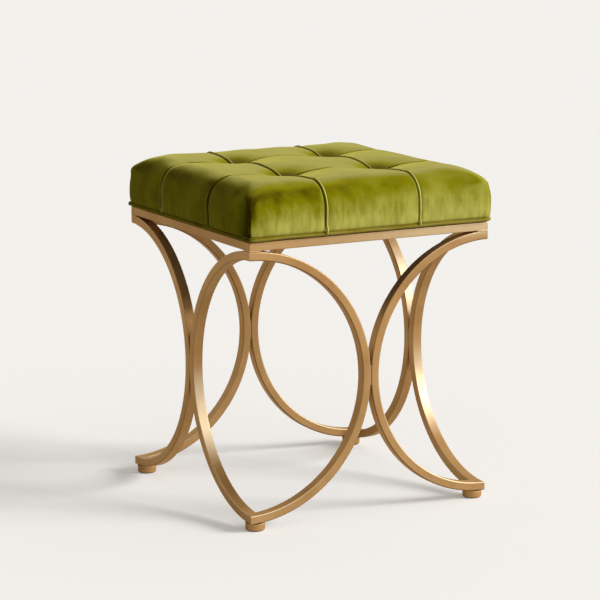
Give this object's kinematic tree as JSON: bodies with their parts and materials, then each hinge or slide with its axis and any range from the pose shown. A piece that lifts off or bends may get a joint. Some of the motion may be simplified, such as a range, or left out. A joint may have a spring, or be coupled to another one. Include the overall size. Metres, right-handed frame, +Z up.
{
  "type": "accent stool",
  "caption": "Square accent stool: tufted velvet seat pad with a welt, screwed to a welded base of half-circle metal tubes on round feet.",
  "frame": {"origin": "on the floor under the middle of the seat", "axes": "+Z up, the front is -Y, +X is to the right seen from the front; the four sides are alike"},
  "size_m": [0.404, 0.404, 0.4939],
  "materials": {
    "gold_metal": "satin",
    "glide": "matte",
    "zinc": "satin",
    "plywood": "matte",
    "dust_cloth": "matte",
    "foam": "matte",
    "velvet": "matte",
    "velvet_welt": "matte",
    "twine": "matte"
  },
  "bodies": {
    "root": {"rail_front": "gold_metal", "rail_right": "gold_metal", "rail_back": "gold_metal", "rail_left": "gold_metal", "arc_front_left": "gold_metal", "arc_front_right": "gold_metal", "arc_right_front": "gold_metal", "arc_right_back": "gold_metal", "arc_back_right": "gold_metal", "arc_back_left": "gold_metal", "arc_left_back": "gold_metal", "arc_left_front": "gold_metal", "side_welds": "gold_metal", "corner_welds": "gold_metal", "foot_front_left": "gold_metal", "foot_front_right": "gold_metal", "foot_back_right": "gold_metal", "foot_back_left": "gold_metal", "glide_front_left": "glide", "glide_front_right": "glide", "glide_back_right": "glide", "glide_back_left": "glide", "corner_plate_front_left": "gold_metal", "corner_plate_front_right": "gold_metal", "corner_plate_back_right": "gold_metal", "corner_plate_back_left": "gold_metal", "seat_screws": "zinc", "seat_washers": "zinc", "tee_nuts": "zinc", "seat_board": "plywood", "dust_cover": "dust_cloth", "foam_pad": "foam", "cushion_cover": "velvet", "welt": "velvet_welt", "tuft_ties": "twine", "tie_washers": "zinc"}
  },
  "joints": []
}
